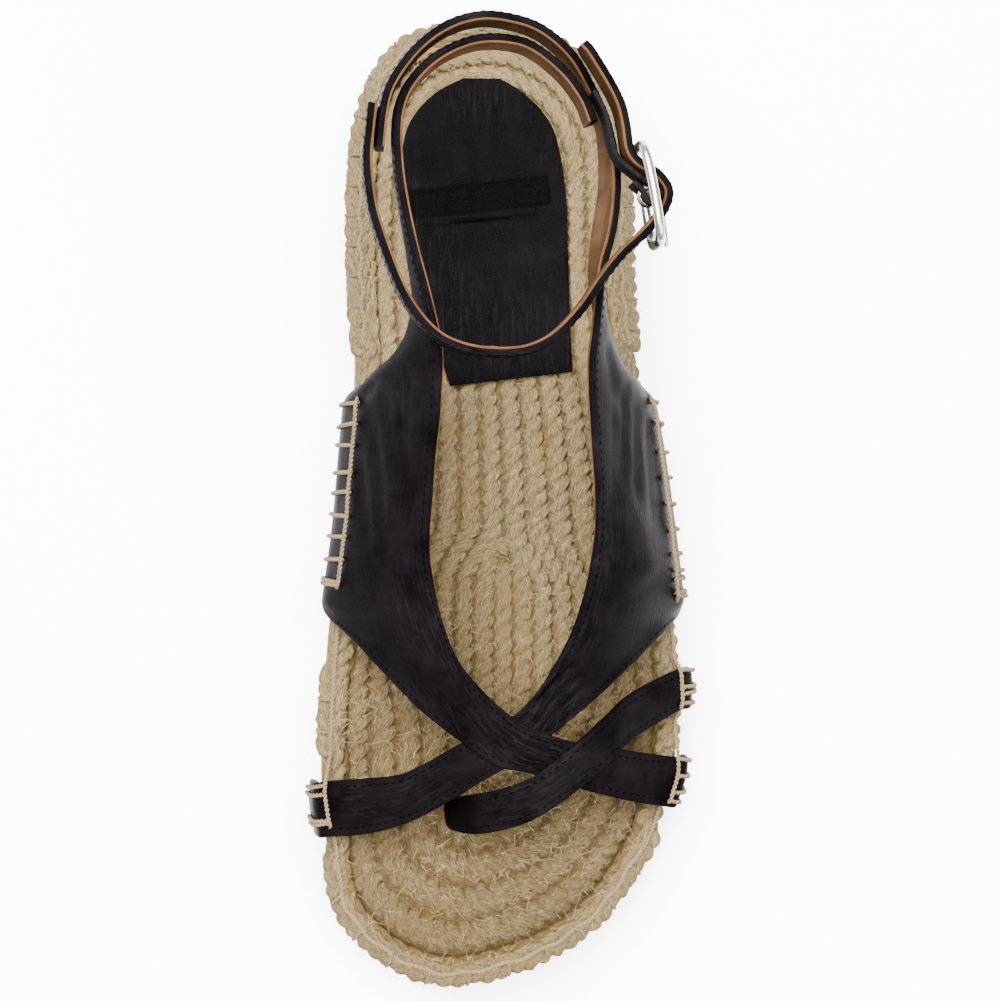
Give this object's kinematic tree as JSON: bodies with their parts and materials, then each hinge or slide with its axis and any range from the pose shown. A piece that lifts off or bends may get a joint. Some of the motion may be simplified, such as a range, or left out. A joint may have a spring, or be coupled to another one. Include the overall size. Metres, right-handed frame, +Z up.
{
  "type": "jute sandal",
  "caption": "Flat jute-rope sandal for a left foot, with crossed leather straps over the foot and a buckled ankle strap.",
  "frame": {"origin": "Middle of the flat underside of the rubber outsole, on the floor", "axes": "+Z up, +Y towards the heel, -Y towards the toe, +X towards the outer (lateral) side of a left foot"},
  "size_m": [0.102, 0.256, 0.0985],
  "materials": {
    "rubber": "matte crepe rubber",
    "jute": "coiled and plaited natural jute rope",
    "pad_leather": "matte black leather",
    "strap_leather": "soft black leather with tan lining",
    "elastic": "ribbed black elastic",
    "buckle_metal": "polished silver-coloured metal"
  },
  "bodies": {
    "root": {"outsole": "rubber", "jute_sole": "jute", "heel_pad": "pad_leather", "upper": "strap_leather", "ankle_strap": "strap_leather", "elastic": "elastic", "buckle_frame": "buckle_metal", "buckle_prong": "buckle_metal"}
  },
  "joints": []
}
